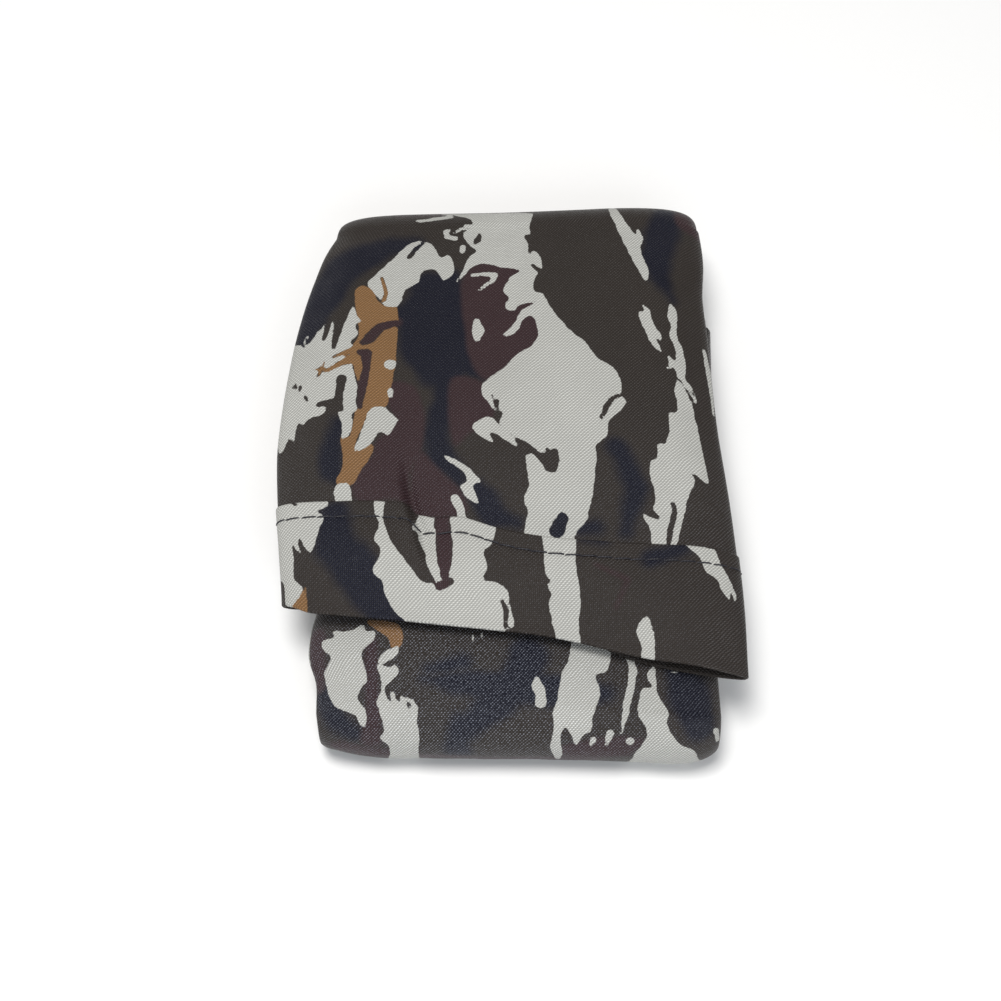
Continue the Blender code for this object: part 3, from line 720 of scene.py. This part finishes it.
def printed_cloth(name):
    n = Nodes(name)
    cloth, height = weave(n, THREAD)
    # navy and maroon have soft, cloudy edges; those of tan and pale wander by the width of a brush hair
    cloudy = n.math("MULTIPLY", n.math("SUBTRACT", n.noise(cloth, 90.0, 3.0), 0.5), 5.0)
    less_cloudy = n.math("MULTIPLY", cloudy, 0.4)
    ragged = n.math("SUBTRACT", n.noise(cloth, 420.0, 3.0, 0.6), 0.5)
    colour = INK["olive"]
    for ink, wander, low, high in (
        ("navy", cloudy, -2.2, 1.8),
        ("maroon", less_cloudy, -1.1, 0.9),
        ("tan", ragged, -0.2, 0.2),
        ("pale", ragged, -0.1, 0.1),
    ):
        amount = n.step(n.math("ADD", n.field("print_" + ink), wander), low, high)
        colour = n.mix(amount, colour, INK[ink])
    # dye sits unevenly and threads differ a little; the holes of the weave are darkened as painted shade, and
    # the tops of the threads lightened as painted highlight
    shade = n.math("MULTIPLY_ADD", height, 1.02, 0.30)
    patchy = n.math("MULTIPLY_ADD", n.noise(cloth, 45.0, 3.0), 0.16, 0.92)
    dye_with_painted_light = n.scaled(colour, n.math("MULTIPLY", shade, patchy))
    # painted highlight: where the painted sheen is set, glints are painted on the tops of some threads
    painted_glint_spots = n.math("MULTIPLY", n.step(n.noise(cloth, 1500.0, 1.0), 0.3, 0.7), n.step(height, 0.5, 0.95))
    painted_glints = n.scaled(PAINTED_GLINT_COLOUR, n.math("MULTIPLY", painted_glint_spots, n.field("shine")))
    dye_with_painted_light = n.add("ShaderNodeVectorMath", {0: dye_with_painted_light, 1: painted_glints}, operation="ADD").outputs[0]
    worn = n.math("MULTIPLY_ADD", n.noise(cloth, 700.0, 2.0), 0.24, 0.48)
    rough = n.math("MULTIPLY_ADD", height, -0.36, worn)
    return n.surface(dye_with_painted_light, rough, {"Specular IOR Level": 0.24, **n.bump(height, 1.0, 0.00026)})


def fleece(name, colour):
    n = Nodes(name)
    place = n.add("ShaderNodeTexCoord").outputs["Object"]
    nap = n.noise(place, 900.0, 4.0, 0.7)
    clumps = n.noise(place, 140.0, 2.0)
    tone = n.mix(n.math("MULTIPLY", nap, clumps), colour, times(colour, 3.0))
    soft = {"Sheen Weight": 0.35, "Sheen Roughness": 0.5, "Specular IOR Level": 0.15}
    return n.surface(tone, 0.95, {**soft, **n.bump(nap, 0.8, 0.0004)})


def thread(name, colour):
    n = Nodes(name)
    place = n.add("ShaderNodeTexCoord").outputs["Object"]
    inputs = {"Vector": place, "Scale": 900.0, "Distortion": 1.0}
    twist = n.add("ShaderNodeTexWave", inputs, bands_direction="DIAGONAL").outputs["Fac"]
    return n.surface(n.mix(twist, colour, times(colour, 2.2)), 0.45, n.bump(twist, 0.6, 0.00006))


SHELL_LOOK = printed_cloth("printed_oxford")
LINING_LOOK = fleece("lining_fleece", rgb(26, 25, 26))
THREAD_LOOK = thread("stitching_thread", rgb(20, 19, 26))


# ---- meshes
def tube(name, at):
    """An object whose mesh joins rings of points, and each quad's four points."""
    rings, around = at.shape[:2]
    i, j = np.meshgrid(np.arange(rings - 1), np.arange(around), indexing="ij")
    after = (j + 1) % around
    quads = np.stack([i, j, i + 1, j, i + 1, after, i, after], -1).reshape(-1, 4, 2) @ (around, 1)
    mesh = bpy.data.meshes.new(name)
    mesh.from_pydata(at.reshape(-1, 3).tolist(), [], quads.tolist())
    piece = bpy.data.objects.new(name, mesh)
    bpy.context.collection.objects.link(piece)
    return piece, quads


def write_grid(name, rows, look, fields=None):
    """A mesh from rings of points, facing outwards, with the cloth's UV map in metres."""
    r, c = rows["at"].shape[:2]
    piece, quads = tube(name, rows["at"] * MM)
    mesh = piece.data
    u = (rows["share"] * AROUND).reshape(-1)[quads]
    u[quads[:, 3] % c == 0, 2:] = AROUND
    v = rows["s"].reshape(-1)[quads]
    layer = mesh.uv_layers.new(name="cloth")
    layer.data.foreach_set("uv", (np.stack([u, v], -1) * MM).reshape(-1).astype(np.float32))
    for key, values in (fields or {}).items():
        made = mesh.attributes.new(key, "FLOAT", "POINT")
        made.data.foreach_set("value", np.asarray(values, np.float32).reshape(-1))
    mesh.polygons.foreach_set("use_smooth", np.ones(len(mesh.polygons), bool))
    # sharp along the two open ends, so that the cut edge doesn't shade the cloth beside it
    ring = np.empty(2 * len(mesh.edges), np.int32)
    mesh.edges.foreach_get("vertices", ring)
    ring = ring.reshape(-1, 2) // c
    open_end = (ring[:, 0] == ring[:, 1]) & np.isin(ring[:, 0], (0, r - 1))
    mesh.attributes.new("sharp_edge", "BOOLEAN", "EDGE").data.foreach_set("value", open_end)
    mesh.materials.append(look)
    mesh.update()
    return piece


def thicken(piece, by):
    """Gives a sheet its real thickness, inwards."""
    solid = piece.modifiers.new("thickness", "SOLIDIFY")
    solid.thickness, solid.offset, solid.use_even_offset = by * MM, -1, False
    return piece


def plain_lip(rows):
    """1 where the flap's cuff has no print: its lower wall close to the mouth, and the cloth turned in."""
    under = ease((rows["share"] - 0.5) / 0.02) + ease((0.012 - rows["share"]) / 0.01)
    return np.clip(under, 0, 1) * ease(1.6 - rows["to_mouth"] / 5)


def print_fields(rows, face, y, zone, book, seed, start, end, shift):
    """The print's distances for each point: a drawing where zone is under 0, and loose strokes elsewhere."""
    around = (rows["share"] * AROUND + shift).reshape(-1)
    fields = loose(np.stack([around, rows["s"].reshape(-1)], -1), seed, start, end)
    x, y = rows[face].reshape(-1), y.reshape(-1)
    mine = drawn(np.stack([x, y], -1), book)
    edge = zone(x, y)
    for colour in COLOURS:
        fields[colour] = np.where(edge > 0, fields[colour], mine[colour])
    if "to_mouth" in rows:
        for colour in ("pale", "tan"):
            fields[colour] = fields[colour] - 2 * FAR * plain_lip(rows).reshape(-1)
    return {"print_" + colour: np.clip(fields[colour], -FAR, FAR) for colour in COLOURS}


def columns(fine_first, fine, coarse):
    """Shares of the way round, in fine steps on the face that shows and coarse ones on the other."""
    top = np.arange(0, 0.5, fine / AROUND)
    if fine_first:
        return np.concatenate([top, np.arange(0.5, 1, coarse / AROUND)])
    return np.concatenate([top[:: round(coarse / fine)], np.arange(0.5, 1, fine / AROUND)])


FINE, COARSE = ((0.8, 1.6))
PLAIN = 2.5  # millimetres between rings where the mesh carries no drawn print
SHELL = 0.45  # the cloth's thickness
SPLIT_Y = 0.0  # where the upper half's meshes meet the lower half's, on the middle layer
SHELL_SEED, FLAP_CUFF_SEED, BASE_CUFF_SEED = 11, 5, 23
FLAP_PADDING, STRIP_PADDING = 1.5, 0.9  # the most that the cloth simulation may move the cloth
DRAWN_HALF = 60.5  # how far from the middle the drawn print reaches
# how strongly glints are painted on the flap's cuff, as painted highlight
CUFF_PAINTED_SHEEN = 0.24


def spread(a, b, spacing):
    return np.linspace(a, b, max(2, int(round(abs(b - a) / spacing)) + 1))


# ---- the padding, by cloth simulation
SIM_SCALE = 10  # the cloth is simulated this many times its real size
SIM_FRAMES = 20
RINGS_APART, PLACES_APART = 4, 5  # the simulated sheet is this many times as coarse as the mesh


def cloth_moves(at, held):
    """How far each point of a padded tube moves, in millimetres, as its filling pushes the cloth out."""
    sheet, _ = tube("padding", at * MM * SIM_SCALE)
    pins = sheet.vertex_groups.new(name="held")
    pins.add(np.flatnonzero(held).tolist(), 1.0, "REPLACE")
    cloth = sheet.modifiers.new("padding", "CLOTH")
    cloth.collision_settings.use_collision = False
    cloth.point_cache.frame_start, cloth.point_cache.frame_end = 1, SIM_FRAMES
    feel = cloth.settings
    feel.quality, feel.mass = 6, 1.0
    feel.tension_stiffness = feel.compression_stiffness = 160
    feel.shear_stiffness, feel.bending_stiffness = 20, 4
    feel.use_pressure, feel.uniform_pressure_force = True, 4
    feel.shrink_min = -0.012
    feel.vertex_group_mass = pins.name
    feel.effector_weights.gravity = 0
    scene = bpy.context.scene
    scene.frame_start, scene.frame_end = 1, SIM_FRAMES
    for frame_number in range(1, SIM_FRAMES + 1):
        scene.frame_set(frame_number)
    moved = sheet.evaluated_get(bpy.context.evaluated_depsgraph_get()).data
    place = np.empty(at.size, np.float32)
    moved.vertices.foreach_get("co", place)
    scene.frame_set(1)
    bpy.data.objects.remove(sheet, do_unlink=True)
    return place.reshape(at.shape) / (MM * SIM_SCALE) - at


def spline_weights(fine, coarse, apart):
    """A matrix that carries values from coarse places smoothly onto fine ones."""
    t = np.abs(fine[:, None] - coarse[None, :]) / apart
    weights = np.where(t < 1, 2 / 3 - t**2 + t**3 / 2, np.clip(2 - t, 0, 2) ** 3 / 6)
    return weights / weights.sum(1, keepdims=True)


def pad_out(rows, first, last, top_first, most, sewn):
    """Pads out one wall of the tube between two rings, by up to most millimetres, except where it is sewn."""
    at, share = rows["at"], rows["share"]
    rings = np.arange(first, last + 1, RINGS_APART)
    places = np.arange(0, at.shape[1], PLACES_APART)
    coarse, wall = at[rings][:, places], share[rings][:, places] % 1
    free = (wall > 0.01) & (wall < 0.49) if top_first else (wall > 0.51) & (wall < 0.99)
    free[:2] = free[-2:] = False
    moves = cloth_moves(coarse, ~free | sewn(coarse))
    moves = moves * most / (most + np.linalg.norm(moves, axis=-1, keepdims=True))
    fine_rings, fine_places = np.arange(first, last + 1), np.arange(at.shape[1])
    along = spline_weights(fine_rings, rings, RINGS_APART)
    around = spline_weights(fine_places, places, PLACES_APART)
    moves = np.einsum("fr,rcx,gc->fgx", along, moves, around)
    inside = share[first:last + 1] if top_first else share[first:last + 1] - 0.5
    fade = ease(inside / 0.03) * ease((0.5 - inside) / 0.03)
    ends = ease(fine_rings[:, None] - first) * ease((last - fine_rings[:, None]) / 6)
    at[first:last + 1] += moves * (fade * ends)[..., None]


# ---- the padded shells
def printed(name, rows, face, y, zone, book, seed, thickness, shine, shift=0.0, span=None):
    """A piece of the printed cloth.

    zone(x, y) is under 0 where book's drawing shows, on one face, and y is each point's place along it. shift
    moves the loose print round the tube, and span is the stretch of S that it is spread along.
    """
    start, end = span or (rows["s"].min(), rows["s"].max())
    fields = print_fields(rows, face, y, zone, book, seed, start, end, shift)
    # painted highlight: shine says how strongly glints are painted on the tops of the threads
    fields["shine"] = shine + 0 * rows["s"]
    return thicken(write_grid(name, rows, SHELL_LOOK, fields), thickness)


# the upper half: from the middle's middle, over the back fold, to the flap's mouth
cols = columns(True, FINE, COARSE)
upper = [middle_row(y, cols, 0) for y in spread(SPLIT_Y, BACK_Y, PLAIN)[:-1]]
upper += [back_row(k, cols) for k in spread(0, 1, 1.3 / (math.pi * FOLD_R))[:-1]]
flap_start = len(upper)
upper += [flap_row(whole_flap(k), cols) for k in spread(0, 0.975, FINE / (BACK_Y + 54))]
upper = stack(upper)
flap_cuff_start = flap_start + int(np.argmin(np.abs(upper["at"][flap_start:, len(cols) // 3, 1] + 25)))


def sewn_tuck(at):
    x, y = at[..., 0], at[..., 1]
    return (np.abs(x - tuck_line(y)) < 2.5) & (y < -12)


def on_flap(x, y):
    return np.maximum(np.abs(x) - DRAWN_HALF, y - 79)


pad_out(upper, flap_start, flap_cuff_start, True, FLAP_PADDING, sewn_tuck)
upper_y = S_FLAP + BACK_Y - upper["s"]
upper_y = upper_y + sag_back(upper["upper"], upper_y)
# painted highlight: the painted sheen grows towards the flap's mouth, where the lamps catch the sloping cloth
upper_shell = printed(
    "upper_shell", upper, "upper", upper_y, on_flap, FLAP_PRINT, SHELL_SEED, SHELL,
    shine=0.4 * ease((40 - upper_y) / 80), span=WHOLE_TUBE
)
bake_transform(upper_shell)

# the lower half: from the base's mouth, round the front fold, to the same ring
cols = columns(False, FINE, COARSE)
lower = [base_row(k, cols) for k in spread(0.025, 1, 1.8 / (BASE_MOUTH - FRONT_Y))[:-1]]
fold_start = len(lower)
lower += [front_row(k, cols) for k in spread(0, 1, FINE / (math.pi * FOLD_R))[:-1]]
lower += [middle_row(y, cols, 1) for y in spread(FRONT_Y, -38, FINE)]
lower += [middle_row(y, cols, 1) for y in spread(-36, SPLIT_Y, PLAIN)]
lower = stack(lower)


def below_base_middle(at):
    return at[..., 2] < BASE_Z


def on_strip(x, y):
    return np.maximum(np.abs(x - 3) - 52, np.maximum(y + 40, -98 - y))


strip_end = fold_start + int(np.sum(lower["at"][fold_start:, 0, 1] < -40))
pad_out(lower, fold_start + 6, strip_end, False, STRIP_PADDING, below_base_middle)
# painted highlight: more glints are painted on the strip, most at its left-centre and least at its right,
# where the lamps' sheen falls
strip_sheen_reach = ease((lower["s"] - S_FRONT) / 12) * ease((S_MIDDLE + 45 - lower["s"]) / 20)
strip_painted_sheen = [(-46, 0.7), (-16, 1.3), (12, 1.0), (44, 0.4)]
lower_y = FRONT_Y + lower["s"] - S_MIDDLE
lower_shell = printed(
    "lower_shell", lower, "lower", lower_y, on_strip, LOWER_PRINT, SHELL_SEED, SHELL,
    shine=0.38 + strip_sheen_reach * smooth(strip_painted_sheen, lower["lower"]), span=WHOLE_TUBE
)
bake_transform(lower_shell)

# ---- the linings
LINING, LINING_IN = 0.4, 1.6
LINING_STEP = 3.0  # millimetres between rings
lining_cols = np.arange(0, 1, 2.6 / AROUND)
bends = spread(0, 1, 2 / (math.pi * FOLD_R))[:-1]
rows = [middle_row(y, lining_cols, 0, LINING_IN) for y in spread(SPLIT_Y, BACK_Y, LINING_STEP)[:-1]]
rows += [back_row(k, lining_cols, LINING_IN) for k in bends]
rows += [flap_row(whole_flap(k), lining_cols, LINING_IN) for k in spread(0, 0.955, 0.02)]
rows = stack(rows)
upper_lining = thicken(write_grid("upper_lining", rows, LINING_LOOK), LINING)
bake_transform(upper_lining)
rows = [base_row(k, lining_cols, LINING_IN) for k in spread(0.045, 1, 0.022)[:-1]]
rows += [front_row(k, lining_cols, LINING_IN) for k in bends]
rows += [middle_row(y, lining_cols, 1, LINING_IN) for y in spread(FRONT_Y, SPLIT_Y, LINING_STEP)]
rows = stack(rows)
lower_lining = thicken(write_grid("lower_lining", rows, LINING_LOOK), LINING)
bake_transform(lower_lining)

# ---- the cuffs: a band turned in at the mouth
BAND, LIP, TURNED_IN = 0.5, 0.6, 8.0  # how far the band stands out, its lip's radius and what is turned in
BAND_CLOTH = 0.4
STITCH_PITCH = 4.1


def band_rings(ring, length):
    """A band's rings. In ring(g, off, inset), g is 0 at its edge and 1 at the mouth; off is further out."""
    rings = [ring(0, 0.0, 0.05), ring(0, 0.12, -0.3), ring(0, 0.5, -BAND)]
    rings += [ring(g, 0, -BAND) for g in spread(0, 1, FINE / length)[1:]]
    for turn in np.linspace(0, math.pi, 7)[1:]:
        rings.append(ring(1, LIP * math.sin(turn), -BAND + LIP * (1 - math.cos(turn))))
    rings += [ring(1, -back, 2 * LIP - BAND) for back in spread(0.8, TURNED_IN, 1.8)]
    return rings


def flap_band_ring(g, off, inset):
    def y_at(x, up):
        return smooth(FLAP_BAND, x) * (1 - g) + flap_mouth(x, up) * g - off

    made = flap_row(y_at, cols, inset)
    x, y = made["at"][:, 0], made["at"][:, 1]
    made["to_mouth"] = np.full_like(x, (1 - g) * BAND_WIDTH)
    from_stitch = y - (smooth(FLAP_BAND, x) - STITCH_IN)
    if inset < 0.2:
        # the row of stitches draws the cloth in, and puckers it between them
        groove = -0.22 * np.exp(-((from_stitch / 0.7) ** 2))
        pucker = 0.13 * np.cos(x * 2 * math.pi / STITCH_PITCH) * np.exp(-((from_stitch / 2.6) ** 2))
        outward = np.sign(made["at"][:, 2] - FLAP_Z + 1.5)
        made["at"][:, 2] += (groove + pucker) * outward * np.clip(1.2 - np.abs(x - 1) / 60, 0, 1)
    return made


def on_cuff(x, y):
    return np.abs(x) - DRAWN_HALF


def nowhere(x, y):
    return 1.0 + 0 * x


cols = columns(True, FINE, COARSE)
rows = stack(band_rings(flap_band_ring, 30))
flap_cuff = printed(
    "flap_cuff", rows, "upper", S_FLAP + BACK_Y - rows["s"], on_cuff, CUFF_PRINT, FLAP_CUFF_SEED, BAND_CLOTH,
    CUFF_PAINTED_SHEEN, shift=40.0
)
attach(flap_cuff, "flap")


def base_band_ring(g, off, inset):
    k = (1 - g) * BAND_WIDTH / (BASE_MOUTH - FRONT_Y)
    return base_row(k, cols, inset, off)


cols = np.arange(0, 1, 1.4 / AROUND)
rows = stack(band_rings(base_band_ring, BAND_WIDTH))
# painted highlight: a middling painted sheen on the base's cuff
base_cuff = printed(
    "base_cuff", rows, "upper", 0 * rows["s"], nowhere, {}, BASE_CUFF_SEED, BAND_CLOTH, shine=0.35, shift=90.0
)
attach(base_cuff, "base")


# ---- the stitches
STITCH_RADIUS = 0.21
STITCH_SHARE = 0.93  # a stitch's length as a share of the pitch
STITCH_SINKS = np.array([0.36, 0.0, -0.05, -0.06, -0.05, 0.0, 0.36])[:, None]


def stitches(name, path, body):
    """Separate stitches of thread along a closed path, each dipping into the cloth at its ends."""
    path = np.vstack([path, path[:1]])
    run = np.concatenate([[0], np.cumsum(np.linalg.norm(np.diff(path, axis=0), axis=1))])
    count = int(round(run[-1] / STITCH_PITCH))
    pitch = run[-1] / count
    middle = path.mean(0)
    curve = bpy.data.curves.new(name, "CURVE")
    curve.dimensions, curve.use_fill_caps = "3D", True
    curve.bevel_depth, curve.bevel_resolution = STITCH_RADIUS * MM, 2
    pick = np.random.default_rng(7)
    for k in range(count):
        start = (k + pick.normal(0, 0.03)) * pitch
        length = pitch * (STITCH_SHARE + pick.normal(0, 0.02))
        along = start + length * np.linspace(0, 1, 7)
        points = np.stack([np.interp(along % run[-1], run, path[:, axis]) for axis in range(3)], -1)
        points[:, 1] += np.linspace(-1, 1, 7) * 0.12 + pick.normal(0, 0.05)
        inward = middle - points
        inward[:, :2] = 0
        inward /= np.maximum(np.abs(inward[:, 2:]), 0.3)
        points = points + inward * STITCH_SINKS
        spline = curve.splines.new("POLY")
        spline.points.add(len(points) - 1)
        spline.points.foreach_set("co", np.hstack([points * MM, np.ones((len(points), 1))]).reshape(-1))
        spline.use_smooth = True
    curve.materials.append(THREAD_LOOK)
    piece = bpy.data.objects.new(name, curve)
    bpy.context.collection.objects.link(piece)
    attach(piece, body)
    return piece


ring = np.arange(0, 1, 0.5 / AROUND)
path = flap_row(lambda x, up: smooth(FLAP_BAND, x) - STITCH_IN, ring, -BAND - 0.02)["at"]
flap_stitches = stitches("flap_stitches", path, "flap")
path = base_row((BAND_WIDTH - STITCH_IN) / (BASE_MOUTH - FRONT_Y), ring, -BAND - 0.1)["at"]
base_stitches = stitches("base_stitches", path, "base")

# ---- what stands for what
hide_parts("flap_shell", "flap_wadding", "flap_side_seam", "back_fold_shell")
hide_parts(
    "base_shell", "base_wadding", "base_side_seam", "front_fold_shell", "middle_shell",
    "middle_wadding", "middle_side_seam"
)
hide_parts("flap_lining", "back_fold_lining")
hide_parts("base_lining", "front_fold_lining", "middle_lining")
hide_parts("flap_cuff_band")
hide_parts("base_cuff_band")
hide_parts("flap_cuff_thread")
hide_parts("base_cuff_thread")

# ---- the stage and the light
def stage_look():
    n = Nodes("stage_paper")
    place = n.add("ShaderNodeTexCoord").outputs["Object"]
    grain = n.math("MULTIPLY_ADD", n.noise(place, 400.0, 2.0), 0.01, 0.925)
    tone = n.add("ShaderNodeCombineColor", {0: grain, 1: grain, 2: grain}).outputs[0]
    return n.surface(tone, 0.85, {"Specular IOR Level": 0.1})


FLOOR = 4.0  # half its side, in metres
WORLD_STRENGTH = 0.36
floor_mesh = bpy.data.meshes.new("floor")
corners = [(-FLOOR, -FLOOR, 0), (FLOOR, -FLOOR, 0), (FLOOR, FLOOR, 0), (-FLOOR, FLOOR, 0)]
floor_mesh.from_pydata(corners, [], [(0, 1, 2, 3)])
floor_mesh.materials.append(stage_look())
floor = bpy.data.objects.new("floor", floor_mesh)
floor.location.z = -0.2 * MM
bpy.context.collection.objects.link(floor)
floor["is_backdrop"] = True


def softbox(name, at, size, power, tint):
    """A rectangular lamp, size in metres and power in watts, that faces the object."""
    lamp = bpy.data.lights.new(name, "AREA")
    lamp.shape, lamp.energy, lamp.color = "RECTANGLE", power, tint
    lamp.size, lamp.size_y = size
    made = bpy.data.objects.new(name, lamp)
    bpy.context.collection.objects.link(made)
    made.location = at
    toward = np.array([0, 0, 0.02]) - np.array(at)
    pitch = math.atan2(math.hypot(toward[0], toward[1]), -toward[2])
    made.rotation_euler = (pitch, 0, math.atan2(toward[1], toward[0]) - math.pi / 2)


softbox("overhead_softbox", (-0.12, -0.08, 1.0), (0.42, 0.34), 7.6, (1.0, 0.985, 0.96))
softbox("front_softbox", (0.15, -0.85, 0.7), (0.8, 0.4), 3.1, (0.88, 0.94, 1.0))
world = bpy.data.worlds.new("studio")
world.use_nodes = True
background = world.node_tree.nodes["Background"]
background.inputs["Color"].default_value = (1, 1, 1, 1)
background.inputs["Strength"].default_value = WORLD_STRENGTH
bpy.context.scene.world = world
bpy.context.scene.view_settings.view_transform = "Standard"

low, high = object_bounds()
